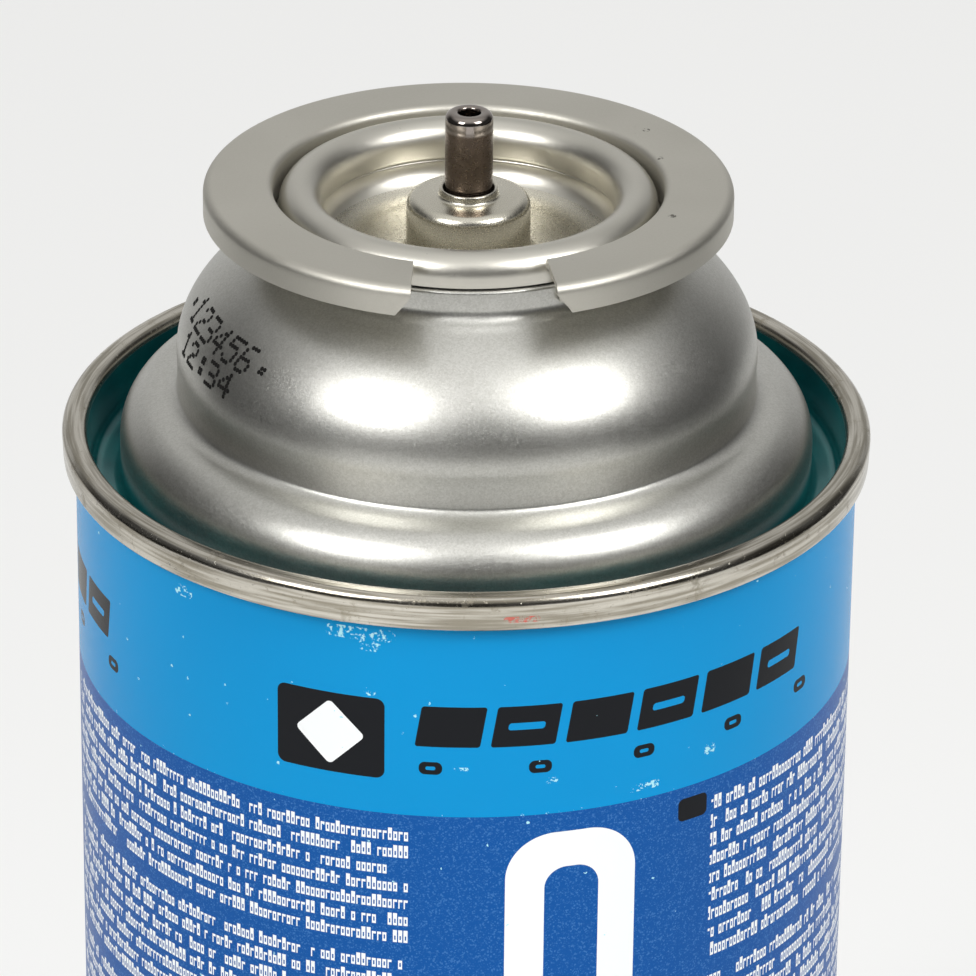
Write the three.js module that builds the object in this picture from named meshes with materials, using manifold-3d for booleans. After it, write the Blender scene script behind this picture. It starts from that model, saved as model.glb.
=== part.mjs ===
// A slim steel fuel canister with a dip valve, as it stands on a table.
//
// Millimetres, +Z up. The origin is the centre of the base, on the surface that the can stands on.
// The collar's notch faces -Y. All pieces are turned about the Z axis, apart from the collar's notch,
// the stem's side hole and the coil of the valve spring.

import * as THREE from "three";
import * as BufferGeometryUtils from "three/addons/utils/BufferGeometryUtils.js";
import Module from "manifold-3d";

const wasm = await Module();
wasm.setup();

// Driving dimensions of the can

const BODY_RADIUS = 32.9;
const CAN_HEIGHT = 158; // floor to the top of the upper double seam
const SEAM_HEIGHT = 3.0;
const SEAM_OVERHANG = 1.35; // how far a double seam stands out past the body
const SEAM_WIDTH = 2.1; // across the rolled rim, seen from above
const SEAM_ROUNDING = 0.7;
const GROOVE_DEPTH = 4.9; // countersink inside each seam, below the rim
const GROOVE_WIDTH = 2.5;
const GROOVE_LEAN = 0.3; // the groove's outer wall leans in by this much from the rim
const GROOVE_ROUNDING = 1.0;
const SHOULDER_DROP = 0.8; // the shoulder turns down this far below the upper rim
const SHOULDER_WIDTH = 3.7;
const CREASE_RISE = 2.9; // pressed line around the dome, above the upper rim
const CREASE_STEP = 1.15; // the dome's waist is this much slimmer than the crease
const WAIST_RISE = 6.5;
const DOME_CROWN = 13.3; // height of the ellipse that the dome follows above its waist
const BASE_RECESS = 11.5; // centre of the hollow base above the floor
const BEAD_HEIGHT = 1.35; // ledge around the neck, which carries the collar
const NECK_HEIGHT = 2.95; // from that ledge to the top of the neck
const NECK_CORNER = 0.2;

// Driving dimensions of the mounting cup, which is crimped over the neck

const SHEET = 0.4;
const CUP_WALL_RADIUS = 12.35;
const CURL_WIDTH = 3.5; // across the rolled rim
const CUP_CROWN = 0.6; // thickness at the crown, above the gasket
const CURL_SKIRT = 2.55; // from the crown of the curl down to its outer edge
const CRIMP_DROP = 3.6; // the swaged line inside the cup, below the crown
const CRIMP_BULGE = 0.4;
const CUP_DEPTH = 6.05; // crown of the curl to the floor of the cup
const CHANNEL_WIDTH = 3.4; // flat floor around the pedestal
const PEDESTAL_RADIUS = 5.2;
const PEDESTAL_HEIGHT = 4.95;
const PEDESTAL_ROUNDING = 0.85;
const PEDESTAL_FOOT = 0.7;
const LIP_HEIGHT = 0.75; // small collar turned up around the stem
const LIP_WALL = 0.3;

// Driving dimensions of the locating collar

const COLLAR_RADIUS = 22.15;
const COLLAR_SHEET = 0.5;
const COLLAR_SKIRT = 2.5;
const COLLAR_HEIGHT = 4.1; // from the neck's ledge to the flat top
const COLLAR_OUTER_ROUNDING = 0.8;
const COLLAR_INNER_ROUNDING = 0.9;
const COLLAR_GAP = 0.5; // between the collar and the cup's curl
const NOTCH_WIDTH = 11;
const NOTCH_FLARE = 1.6; // the cut widens by this much on each side of the skirt

// Driving dimensions of the valve

const STEM_RADIUS = 2.0;
const STEM_NECK_RADIUS = 1.75;
const STEM_BORE = 0.93;
const STEM_REACH = 7.5; // tip of the stem above the pedestal
const STEM_TIP_ROUNDING = 0.7;
const STEM_NECK_REACH = 0.8; // the slim neck ends this far above the pedestal
const STEM_GUIDE = 2.25; // stub below the stem's shoulder
const STEM_GUIDE_RADIUS = 1.6;
const SHOULDER_THICKNESS = 1.2;
const STEM_TRAVEL = 2.2;
const SIDE_HOLE_RADIUS = 0.35;
const STEM_CLEARANCE = 0.3;
const STEM_GASKET_THICKNESS = 1.0;
const HOUSING_WALL = 0.9;
const HOUSING_FLOOR = 1.1;
const HOUSING_CHAMFER = 0.5;
const TAIL_LENGTH = 3.5;
const TAIL_RADIUS = 1.5;
const TAIL_BORE = 0.6;
const SPRING_WIRE_RADIUS = 0.3;
const SPRING_TURNS = 6;
const SPRING_RESERVE = 1.9; // room left between the turns when the stem is pressed right down
const SPRING_PLAY = 0.12; // at each end
const CUP_GASKET_THICKNESS = 0.5;
const CUP_GASKET_INSET = 0.1; // the gasket is narrower than the flat above it, on each side

// Clearances and fineness

const FIT_GAP = 0.3;
const CRIMP_GAP = 0.45; // between the neck and the cup's sheet around it
const CUT_MARGIN = 1; // a cutter passes the faces that it opens by this much
const SEGMENTS = 48;
const FINE_SEGMENTS = 24;

// Helpers

const point = (radius, height) => new THREE.Vector2(radius, height);

// Points of an arc about (radius, height), from one angle to another in degrees.
function arc(radius, height, width, rise, from, to, steps) {
  const points = [];
  for (let step = 0; step <= steps; step += 1) {
    const angle = THREE.MathUtils.degToRad(from + ((to - from) * step) / steps);
    points.push(point(radius + width * Math.cos(angle), height + rise * Math.sin(angle)));
  }
  return points;
}

// A turned solid about Z from its half section, which starts on the axis or closes on itself.
function turned(profile, segments) {
  const geometry = new THREE.LatheGeometry(profile, segments);
  geometry.rotateX(Math.PI / 2);
  return geometry;
}

function toSolid(geometry) {
  const bare = geometry.index ? geometry.toNonIndexed() : geometry.clone();
  bare.deleteAttribute("normal");
  bare.deleteAttribute("uv");
  const merged = BufferGeometryUtils.mergeVertices(bare, 1e-4);
  const corners = merged.index.array;
  const kept = [];
  for (let i = 0; i < corners.length; i += 3) {
    const [a, b, c] = [corners[i], corners[i + 1], corners[i + 2]];
    if (a !== b && b !== c && c !== a) {
      kept.push(a, b, c);
    }
  }
  return new wasm.Manifold(
    new wasm.Mesh({
      numProp: 3,
      vertProperties: new Float32Array(merged.attributes.position.array),
      triVerts: new Uint32Array(kept),
    }),
  );
}

function toGeometry(solid) {
  const mesh = solid.getMesh();
  const geometry = new THREE.BufferGeometry();
  geometry.setAttribute("position", new THREE.BufferAttribute(mesh.vertProperties, 3));
  geometry.setIndex(new THREE.BufferAttribute(mesh.triVerts, 1));
  geometry.computeVertexNormals();
  return geometry;
}

// Levels and radii that follow from the driving dimensions

const seamRadius = BODY_RADIUS + SEAM_OVERHANG;
const rimRadius = seamRadius - SEAM_WIDTH; // inner edge of a seam
const grooveRadius = rimRadius - GROOVE_LEAN;
const shoulderRadius = grooveRadius - GROOVE_WIDTH;
const creaseRadius = shoulderRadius - SHOULDER_WIDTH;
const waistRadius = creaseRadius - CREASE_STEP;

const cupRadius = CUP_WALL_RADIUS + CURL_WIDTH;
const curlCentre = CUP_WALL_RADIUS + CURL_WIDTH / 2;
const collarInner = cupRadius + COLLAR_GAP;
const beadRadius = collarInner + COLLAR_SHEET;
const neckRadius = cupRadius - SHEET - CRIMP_GAP;
const mouthRadius = CUP_WALL_RADIUS + SHEET + CRIMP_GAP;
const pocketRadius = CUP_WALL_RADIUS + CRIMP_BULGE + SHEET + CRIMP_GAP;

const domeHeight = (radius) => {
  return CAN_HEIGHT + WAIST_RISE + DOME_CROWN * Math.sqrt(1 - (radius / waistRadius) ** 2);
};
const ledgeLevel = domeHeight(beadRadius) + BEAD_HEIGHT;
const neckTop = ledgeLevel + NECK_HEIGHT;
const cupGasketTop = neckTop + CUP_GASKET_THICKNESS;
const crownLevel = cupGasketTop + CUP_CROWN;
const curlLevel = crownLevel - CURL_WIDTH / 2;
const crimpLevel = crownLevel - CRIMP_DROP;
const cupFloor = crownLevel - CUP_DEPTH;
const pedestalTop = cupFloor + PEDESTAL_HEIGHT;
const collarTop = ledgeLevel + COLLAR_HEIGHT;

const stemHole = STEM_RADIUS + STEM_CLEARANCE;
const lipRadius = stemHole + LIP_WALL;
const housingRadius = PEDESTAL_RADIUS - SHEET - FIT_GAP;
const housingBore = housingRadius - HOUSING_WALL;
const stemGasketTop = pedestalTop - SHEET;
const housingTop = stemGasketTop - STEM_GASKET_THICKNESS;
const springRoom = STEM_TRAVEL + 2 * SPRING_WIRE_RADIUS * SPRING_TURNS + SPRING_RESERVE;
const housingBottom = housingTop - SHOULDER_THICKNESS - springRoom - HOUSING_FLOOR;
const springFloor = housingBottom + HOUSING_FLOOR;
const tailBottom = housingBottom - TAIL_LENGTH;
const stemShoulderBottom = housingTop - SHOULDER_THICKNESS;

// The can: a three-piece tin with its filling, as one solid. Only the place of the valve is hollow.

function canGeometry() {
  const corner = SEAM_ROUNDING;
  const panelRadius = grooveRadius - GROOVE_WIDTH / 2;
  const profile = [];
  // hollow base, from the centre out to its groove and up the inside of the seam
  const panelSteps = 5;
  for (let step = 0; step <= panelSteps; step += 1) {
    const share = step / panelSteps;
    const height = BASE_RECESS - (BASE_RECESS - GROOVE_DEPTH) * share ** 2;
    profile.push(point(panelRadius * share, height));
  }
  profile.push(point(grooveRadius, GROOVE_DEPTH - GROOVE_ROUNDING));
  profile.push(point(rimRadius, corner));
  // lower double seam
  profile.push(...arc(rimRadius + corner, corner, corner, corner, 200, 270, 2));
  profile.push(...arc(seamRadius - corner, corner, corner, corner, 270, 360, 3));
  profile.push(...arc(seamRadius - corner, SEAM_HEIGHT - corner / 2, corner, corner / 2, 0, 90, 2));
  profile.push(point(BODY_RADIUS, SEAM_HEIGHT));
  // upper double seam
  const seamBottom = CAN_HEIGHT - SEAM_HEIGHT;
  profile.push(point(BODY_RADIUS, seamBottom));
  profile.push(...arc(seamRadius - corner, seamBottom + corner / 2, corner, corner / 2, -90, 0, 2));
  profile.push(...arc(seamRadius - corner, CAN_HEIGHT - corner, corner, corner, 0, 90, 3));
  profile.push(...arc(rimRadius + corner, CAN_HEIGHT - corner, corner, corner, 90, 160, 2));
  // groove between the seam and the dome
  const grooveBottom = CAN_HEIGHT - GROOVE_DEPTH;
  const bend = GROOVE_ROUNDING;
  profile.push(...arc(grooveRadius - bend, grooveBottom + bend, bend, bend, 0, -90, 2));
  profile.push(point(shoulderRadius + bend / 2, grooveBottom));
  profile.push(point(shoulderRadius, grooveBottom + bend / 2));
  // shoulder, a quarter of an ellipse up to the crease
  const shoulderLevel = CAN_HEIGHT - SHOULDER_DROP;
  const shoulderRise = SHOULDER_DROP + CREASE_RISE;
  profile.push(...arc(creaseRadius, shoulderLevel, SHOULDER_WIDTH, shoulderRise, 0, 90, 5));
  // dome, an ellipse from the waist up to the neck's bead
  const beadAngle = THREE.MathUtils.radToDeg(Math.acos(beadRadius / waistRadius));
  profile.push(...arc(0, CAN_HEIGHT + WAIST_RISE, waistRadius, DOME_CROWN, 0, beadAngle, 7));
  profile.push(point(beadRadius, ledgeLevel));
  // neck and its mouth
  profile.push(point(neckRadius, ledgeLevel));
  profile.push(point(neckRadius, neckTop - NECK_CORNER));
  profile.push(point(neckRadius - NECK_CORNER, neckTop));
  profile.push(point(mouthRadius + NECK_CORNER, neckTop));
  profile.push(point(mouthRadius, neckTop - NECK_CORNER));
  profile.push(point(mouthRadius, crimpLevel + 2 * CRIMP_BULGE));
  profile.push(point(pocketRadius, crimpLevel + CRIMP_BULGE));
  // pocket for the cup, and the narrow one for the valve below it
  const pocketFloor = cupFloor - SHEET - FIT_GAP;
  const wellRadius = housingRadius + FIT_GAP;
  const wellFloor = tailBottom - FIT_GAP;
  profile.push(point(pocketRadius, pocketFloor));
  profile.push(point(wellRadius, pocketFloor));
  profile.push(point(wellRadius, wellFloor));
  profile.push(point(0, wellFloor));
  return turned(profile, SEGMENTS);
}

// The mounting cup: one face of its sheet, from the lip at the stem out to the edge of the curl.

function cupFace(inset) {
  const edge = PEDESTAL_ROUNDING - inset;
  const foot = PEDESTAL_FOOT + inset;
  const floorEnd = PEDESTAL_RADIUS + PEDESTAL_FOOT + CHANNEL_WIDTH;
  const bulge = CUP_WALL_RADIUS + CRIMP_BULGE;
  const curl = CURL_WIDTH / 2 - inset;
  const points = [];
  points.push(
    ...arc(PEDESTAL_RADIUS - PEDESTAL_ROUNDING, pedestalTop - PEDESTAL_ROUNDING, edge, edge, 90, 0, 2),
  );
  const footRadius = PEDESTAL_RADIUS + PEDESTAL_FOOT;
  points.push(...arc(footRadius, cupFloor + PEDESTAL_FOOT, foot, foot, 180, 270, 2));
  points.push(
    ...arc(floorEnd, crimpLevel, bulge - floorEnd + inset, crimpLevel - cupFloor + inset, -90, 0, 4),
  );
  points.push(point(CUP_WALL_RADIUS + inset, crimpLevel + CRIMP_BULGE));
  if (inset === 0) {
    points.push(...arc(curlCentre, curlLevel, curl, curl, 180, 0, 8));
  } else {
    const flatAngle = THREE.MathUtils.radToDeg(Math.asin((cupGasketTop - curlLevel) / curl));
    points.push(...arc(curlCentre, curlLevel, curl, curl, 180, 180 - flatAngle, 2));
    points.push(...arc(curlCentre, curlLevel, curl, curl, flatAngle, 0, 2));
  }
  points.push(point(cupRadius - inset, crownLevel - CURL_SKIRT));
  return points;
}

function cupGeometry() {
  const lipTop = pedestalTop + LIP_HEIGHT;
  const profile = [
    point(stemHole, pedestalTop - SHEET),
    ...cupFace(SHEET),
    ...cupFace(0).reverse(),
    point(lipRadius, pedestalTop),
    point(lipRadius, lipTop - LIP_WALL / 2),
    point(lipRadius - LIP_WALL / 2, lipTop),
    point(stemHole, lipTop),
    point(stemHole, pedestalTop - SHEET),
  ];
  return turned(profile, SEGMENTS);
}

// The locating collar: a pressed ring with a turned-down edge on both sides and a notch at the front.

function collarGeometry() {
  const outer = COLLAR_OUTER_ROUNDING;
  const inner = COLLAR_INNER_ROUNDING;
  const skirtBottom = collarTop - COLLAR_SKIRT;
  const outerCentre = COLLAR_RADIUS - outer;
  const innerCentre = collarInner + inner;
  const underOuter = outer - COLLAR_SHEET;
  const underInner = inner - COLLAR_SHEET;
  const profile = [
    point(COLLAR_RADIUS, skirtBottom),
    ...arc(outerCentre, collarTop - outer, outer, outer, 0, 90, 3),
    ...arc(innerCentre, collarTop - inner, inner, inner, 90, 180, 3),
    point(collarInner, ledgeLevel),
    point(collarInner + COLLAR_SHEET, ledgeLevel),
    ...arc(innerCentre, collarTop - inner, underInner, underInner, 180, 90, 2),
    ...arc(outerCentre, collarTop - outer, underOuter, underOuter, 90, 0, 2),
    point(COLLAR_RADIUS - COLLAR_SHEET, skirtBottom),
    point(COLLAR_RADIUS, skirtBottom),
  ];
  const ring = toSolid(turned(profile, SEGMENTS));
  const half = NOTCH_WIDTH / 2;
  const flareTop = skirtBottom + NOTCH_FLARE;
  const outline = new THREE.Shape([
    point(half, collarTop + CUT_MARGIN),
    point(-half, collarTop + CUT_MARGIN),
    point(-half, flareTop),
    point(-half - NOTCH_FLARE, skirtBottom),
    point(-half - NOTCH_FLARE, ledgeLevel - CUT_MARGIN),
    point(half + NOTCH_FLARE, ledgeLevel - CUT_MARGIN),
    point(half + NOTCH_FLARE, skirtBottom),
    point(half, flareTop),
  ]);
  const cutter = new THREE.ExtrudeGeometry(outline, { depth: COLLAR_RADIUS, bevelEnabled: false });
  cutter.rotateX(Math.PI / 2); // the outline now stands upright and the cut runs towards -Y
  cutter.translate(0, -CUT_MARGIN, 0);
  return toGeometry(ring.subtract(toSolid(cutter)));
}

// The valve stem: a bored pin with a shoulder under its gasket and a small hole in its side.

function stemGeometry() {
  const tip = pedestalTop + STEM_REACH;
  const neckEnd = pedestalTop + STEM_NECK_REACH;
  const step = STEM_RADIUS - STEM_NECK_RADIUS;
  const holeLevel = stemGasketTop - STEM_GASKET_THICKNESS / 2;
  const shoulder = housingBore - STEM_CLEARANCE;
  const boreBottom = holeLevel - SIDE_HOLE_RADIUS;
  const round = STEM_TIP_ROUNDING;
  const drillLength = STEM_RADIUS + CUT_MARGIN;
  const profile = [
    point(0, stemShoulderBottom - STEM_GUIDE),
    point(STEM_GUIDE_RADIUS, stemShoulderBottom - STEM_GUIDE),
    point(STEM_GUIDE_RADIUS, stemShoulderBottom),
    point(shoulder, stemShoulderBottom),
    point(shoulder, housingTop),
    point(STEM_NECK_RADIUS, housingTop),
    point(STEM_NECK_RADIUS, neckEnd),
    ...arc(STEM_NECK_RADIUS, neckEnd + 2 * step, step, 2 * step, -60, 0, 2),
    ...arc(STEM_RADIUS - round, tip - round, round, round, 0, 90, 3),
    point(STEM_BORE, tip),
    point(STEM_BORE, boreBottom),
    point(0, boreBottom - STEM_BORE / 2),
  ];
  const stem = toSolid(turned(profile, FINE_SEGMENTS));
  const drill = new THREE.CylinderGeometry(SIDE_HOLE_RADIUS, SIDE_HOLE_RADIUS, drillLength, 10);
  drill.rotateZ(Math.PI / 2);
  drill.translate(drillLength / 2, 0, holeLevel);
  return toGeometry(stem.subtract(toSolid(drill)));
}

// The valve housing: a moulded cup inside the pedestal, with a tail that lets the gas in.

function housingGeometry() {
  const profile = [
    point(TAIL_BORE, tailBottom),
    point(TAIL_RADIUS, tailBottom),
    point(TAIL_RADIUS, housingBottom),
    point(housingRadius - HOUSING_CHAMFER, housingBottom),
    point(housingRadius, housingBottom + HOUSING_CHAMFER),
    point(housingRadius, housingTop),
    point(housingBore, housingTop),
    point(housingBore, springFloor),
    point(TAIL_BORE, springFloor),
    point(TAIL_BORE, tailBottom),
  ];
  return turned(profile, FINE_SEGMENTS);
}

// A flat washer between two levels.

function washerGeometry(inside, outside, bottom, top, segments) {
  return turned(
    [
      point(inside, bottom),
      point(outside, bottom),
      point(outside, top),
      point(inside, top),
      point(inside, bottom),
    ],
    segments,
  );
}

// The gasket on the neck's top, as wide as the flat inside the cup's curl allows.

function cupGasketGeometry() {
  const curl = CURL_WIDTH / 2 - SHEET;
  const flat = Math.sqrt(curl ** 2 - (cupGasketTop - curlLevel) ** 2) - CUP_GASKET_INSET;
  return washerGeometry(curlCentre - flat, curlCentre + flat, neckTop, cupGasketTop, SEGMENTS);
}

// The gasket around the stem, under the roof of the pedestal.

function stemGasketGeometry() {
  const radius = Math.min(housingRadius, PEDESTAL_RADIUS - PEDESTAL_ROUNDING);
  return washerGeometry(stemHole, radius, housingTop, stemGasketTop, FINE_SEGMENTS);
}

// The valve spring: round wire wound around the stem's guide, between housing floor and shoulder.

class Coil extends THREE.Curve {
  constructor(radius, bottom, top, turns) {
    super();
    Object.assign(this, { radius, bottom, top, turns });
  }

  getPoint(share, target = new THREE.Vector3()) {
    const angle = 2 * Math.PI * this.turns * share;
    const height = this.bottom + (this.top - this.bottom) * share;
    return target.set(this.radius * Math.cos(angle), this.radius * Math.sin(angle), height);
  }
}

function springGeometry() {
  const end = SPRING_WIRE_RADIUS + SPRING_PLAY;
  const radius = (STEM_GUIDE_RADIUS + housingBore) / 2;
  const coil = new Coil(radius, springFloor + end, stemShoulderBottom - end, SPRING_TURNS);
  const wire = new THREE.Shape();
  wire.absarc(0, 0, SPRING_WIRE_RADIUS, 0, 2 * Math.PI);
  return new THREE.ExtrudeGeometry(wire, {
    steps: 10 * SPRING_TURNS,
    curveSegments: 3,
    extrudePath: coil,
    bevelEnabled: false,
  });
}

// Finishes

const finishes = {
  tinplate: new THREE.MeshStandardMaterial({ color: 0xa8a8a0, roughness: 0.35, metalness: 0.9 }),
  collar: new THREE.MeshStandardMaterial({ color: 0xa6a498, roughness: 0.5, metalness: 0.85 }),
  label: new THREE.MeshStandardMaterial({ color: 0x008acc, roughness: 0.35, metalness: 0.1 }),
  nickel: new THREE.MeshStandardMaterial({ color: 0x6e6659, roughness: 0.25, metalness: 1 }),
  rubber: new THREE.MeshStandardMaterial({ color: 0x1d1d1f, roughness: 0.8, metalness: 0 }),
  moulding: new THREE.MeshStandardMaterial({ color: 0xe3e1d8, roughness: 0.5, metalness: 0 }),
};

const canister = new THREE.Group();

function add(name, geometry, material) {
  const mesh = new THREE.Mesh(geometry, material);
  mesh.name = name;
  canister.add(mesh);
}

add("can", canGeometry(), finishes.label);
add("mounting_cup", cupGeometry(), finishes.tinplate);
add("cup_gasket", cupGasketGeometry(), finishes.rubber);
add("locating_collar", collarGeometry(), finishes.collar);
add("valve_stem", stemGeometry(), finishes.nickel);
add("stem_gasket", stemGasketGeometry(), finishes.rubber);
add("valve_housing", housingGeometry(), finishes.moulding);
add("valve_spring", springGeometry(), finishes.nickel);

export default canister;
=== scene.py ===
# %% [markdown]
# # A slim fuel canister, dressed for its portrait
#
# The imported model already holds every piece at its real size, but its round pieces have 48 flat
# sides and one plain colour each. In this lesson the pieces that can be seen are turned again with
# many more sides, and each gets the finish of the real metal, lacquer or print.
#
# The frame is loaded first, because every size below is measured on it.

# %% Load the frame
import math

import bpy
from mathutils import Matrix, Vector


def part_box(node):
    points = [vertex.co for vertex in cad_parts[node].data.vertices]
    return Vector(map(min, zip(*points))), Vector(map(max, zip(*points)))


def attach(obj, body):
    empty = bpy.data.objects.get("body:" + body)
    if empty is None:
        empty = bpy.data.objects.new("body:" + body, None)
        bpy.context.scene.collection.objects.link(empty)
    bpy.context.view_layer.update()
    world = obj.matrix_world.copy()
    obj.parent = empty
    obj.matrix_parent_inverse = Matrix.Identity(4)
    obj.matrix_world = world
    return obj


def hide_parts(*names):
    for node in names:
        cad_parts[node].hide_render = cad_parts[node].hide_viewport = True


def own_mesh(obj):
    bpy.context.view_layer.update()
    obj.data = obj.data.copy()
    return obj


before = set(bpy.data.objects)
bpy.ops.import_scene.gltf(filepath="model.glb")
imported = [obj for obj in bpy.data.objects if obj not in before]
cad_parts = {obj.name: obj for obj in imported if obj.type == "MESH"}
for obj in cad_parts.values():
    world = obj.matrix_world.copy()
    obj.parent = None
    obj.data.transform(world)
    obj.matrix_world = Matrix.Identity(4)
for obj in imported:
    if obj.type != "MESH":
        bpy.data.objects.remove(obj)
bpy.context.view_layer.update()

MM = 0.001
scene = bpy.context.scene
print("nodes in the frame:", sorted(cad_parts))

# %% [markdown]
# ## Sizes from the frame
#
# A node's box gives its outer radius and its levels. What a box can't give, such as the width of a
# rolled rim, is written here once, in millimetres as on a workshop drawing. Levels on the top of
# the can are counted from the rim of its upper double seam.

# %% Measure the nodes
can_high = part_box("can")[1]
cup_low, cup_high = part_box("mounting_cup")
collar_low, collar_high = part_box("locating_collar")
stem_low, stem_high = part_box("valve_stem")

SEAM_RADIUS = can_high.x / MM
SEAM_OVERHANG = 1.35
SEAM_WIDTH = 2.1
SEAM_HEIGHT = 3.0
BODY_RADIUS = SEAM_RADIUS - SEAM_OVERHANG
RIM_RADIUS = SEAM_RADIUS - SEAM_WIDTH

rim_heights = []
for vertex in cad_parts["can"].data.vertices:
    if math.hypot(vertex.co.x, vertex.co.y) / MM > BODY_RADIUS:
        rim_heights.append(vertex.co.z / MM)
CAN_TOP = max(rim_heights)
NECK_TOP = can_high.z / MM

CUP_RADIUS = cup_high.x / MM
CROWN = cup_high.z / MM
CUP_SHEET = 0.4
CUP_FLOOR = cup_low.z / MM + CUP_SHEET
CURL_WIDTH = 3.5
CUP_WALL = CUP_RADIUS - CURL_WIDTH

COLLAR_RADIUS = collar_high.x / MM
COLLAR_TOP = collar_high.z / MM
LEDGE = collar_low.z / MM
STEM_TIP = stem_high.z / MM
print(f"body radius {BODY_RADIUS:.2f} mm, upper rim at {CAN_TOP:.2f} mm, stem tip at {STEM_TIP:.2f} mm")

# %% [markdown]
# ## The camera
#
# The photograph was taken with a long lens from a little above. The camera's place was worked out
# from the ellipses that the round rims make in the picture. The collar's notch faces -Y, and the
# photographer stood a few degrees to the left of it, so the whole camera turns about Z by that much.

# %% Set up the camera
IMAGE_SIZE = 976
FOCAL_PIXELS = 6402.4
SENSOR = 36.0
CAMERA_DISTANCE = 545.9
CAMERA_ELEVATION = math.radians(26.175)
AIM_BELOW_RIM = 6.788
CAMERA_YAW = math.radians(0.198)
CAMERA_ROLL = math.radians(0.534)
NOTCH_BEARING = math.radians(3.56)

lens = bpy.data.cameras.new("lens")
lens.sensor_width = SENSOR
lens.lens = SENSOR * FOCAL_PIXELS / IMAGE_SIZE
lens.clip_start = 0.01
camera = bpy.data.objects.new("camera", lens)
scene.collection.objects.link(camera)
tripod = Vector(
    (
        0,
        -CAMERA_DISTANCE * math.cos(CAMERA_ELEVATION) * MM,
        (CAN_TOP - AIM_BELOW_RIM + CAMERA_DISTANCE * math.sin(CAMERA_ELEVATION)) * MM,
    )
)
about_can = Matrix.Rotation(-NOTCH_BEARING, 4, "Z")
tilt = Matrix.Rotation(math.pi / 2 - CAMERA_ELEVATION, 4, "X")
yaw = Matrix.Rotation(-CAMERA_YAW, 4, "Y")
roll = Matrix.Rotation(CAMERA_ROLL, 4, "Z")
camera.matrix_world = about_can @ Matrix.Translation(tripod) @ tilt @ yaw @ roll
scene.camera = camera
print(f"lens {lens.lens:.1f} mm, camera at {tuple(round(v, 3) for v in camera.matrix_world.translation)}")

# %% [markdown]
# ## Turning a piece, as on a lathe
#
# Everything here but the notch is turned about one axis. A real lathe or press works along an
# outline, and so does this helper: it adds one circle, then extrudes its edge from point to point
# of the outline and scales it to each new radius. The alternative, spinning a drawn line, gives the
# same mesh, but the extruded ring shows each step and never leaves a seam to close.
#
# A sheet is an outline with a second line behind it at the sheet's thickness.

# %% Helpers for outlines
SIDES = 180


def arc(radius, height, width, rise, start, end, steps):
    """Points (radius, height) on an arc about a centre, between two angles in degrees."""
    points = []
    for step in range(steps + 1):
        angle = math.radians(start + (end - start) * step / steps)
        points.append((radius + width * math.cos(angle), height + rise * math.sin(angle)))
    return points


def behind(outline, thickness):
    """The same line moved to its right-hand side by a thickness, and turned round."""
    moved = []
    for place, (radius, height) in enumerate(outline):
        before = outline[max(place - 1, 0)]
        after = outline[min(place + 1, len(outline) - 1)]
        along = Vector((after[0] - before[0], after[1] - before[1])).normalized()
        moved.append((radius + along.y * thickness, height - along.x * thickness))
    return moved[::-1]


def sheet(outline, thickness):
    """An outline with its own back behind it, so that it encloses the metal."""
    return outline + behind(outline, thickness)


quarter = arc(0, 0, 1, 1, 0, 90, 4)
print("a quarter turn in four steps has", len(quarter), "points")

# %% Helper that turns a piece
SHARP_EDGE = 38


def alone(piece):
    """Selects one piece and nothing else."""
    bpy.ops.object.select_all(action="DESELECT")
    piece.select_set(True)
    bpy.context.view_layer.objects.active = piece


def turned(name, outline, ends="joined", sides=SIDES):
    """A round piece from an outline in millimetres. Its ends are joined, or capped at the axis."""
    bpy.ops.object.select_all(action="DESELECT")
    first_radius, first_height = outline[0]
    bpy.ops.mesh.primitive_circle_add(
        vertices=sides, radius=first_radius * MM, location=(0, 0, first_height * MM)
    )
    piece = bpy.context.object
    piece.name = name
    bpy.ops.object.transform_apply(location=True, rotation=True, scale=True)
    bpy.ops.object.mode_set(mode="EDIT")
    bpy.ops.mesh.select_mode(type="VERT")
    for (radius, height), (next_radius, next_height) in zip(outline, outline[1:]):
        bpy.ops.mesh.extrude_region_move(
            TRANSFORM_OT_translate={"value": (0, 0, (next_height - height) * MM)}
        )
        ratio = next_radius / radius
        bpy.ops.transform.resize(value=(ratio, ratio, 1), center_override=(0, 0, 0))
    bpy.ops.mesh.select_all(action="DESELECT")
    bpy.ops.mesh.select_non_manifold()
    if ends == "joined":
        bpy.ops.mesh.bridge_edge_loops()
    else:
        bpy.ops.mesh.edge_face_add()
        bpy.ops.mesh.poke()
    bpy.ops.mesh.select_all(action="SELECT")
    bpy.ops.mesh.normals_make_consistent(inside=False)
    bpy.ops.object.mode_set(mode="OBJECT")
    smooth(piece)
    print(name, "is turned from", len(outline), "points")
    return piece


def smooth(piece):
    """Shades a piece smoothly, but keeps its sharp edges."""
    alone(piece)
    bpy.ops.object.shade_smooth_by_angle(angle=math.radians(SHARP_EDGE))


def dress(piece, nodes, finish, body="canister"):
    """Gives a finished piece its material, its place in the frame and its body."""
    piece.data.materials.clear()
    piece.data.materials.append(finish)
    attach(piece, body)
    if nodes:
        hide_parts(*nodes)
    print(piece.name, len(piece.data.polygons), "faces")


print("edges that turn by more than", SHARP_EDGE, "degrees stay sharp")

# %% [markdown]
# ## The can's wall
#
# The wall is one printed sheet rolled into a tube. Its edges vanish in the double seams, so a plain
# tube with a thin wall is true to it. All of its character is in the print, which comes later as a
# material.

# %% Turn the wall
WALL_SHEET = 0.25
wall_outline = [
    (BODY_RADIUS, CAN_TOP - SEAM_HEIGHT + 0.4),
    (BODY_RADIUS, CAN_TOP / 2),
    (BODY_RADIUS, SEAM_HEIGHT - 0.4),
]
can_wall = turned("can_wall", sheet(wall_outline, -WALL_SHEET))

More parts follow.
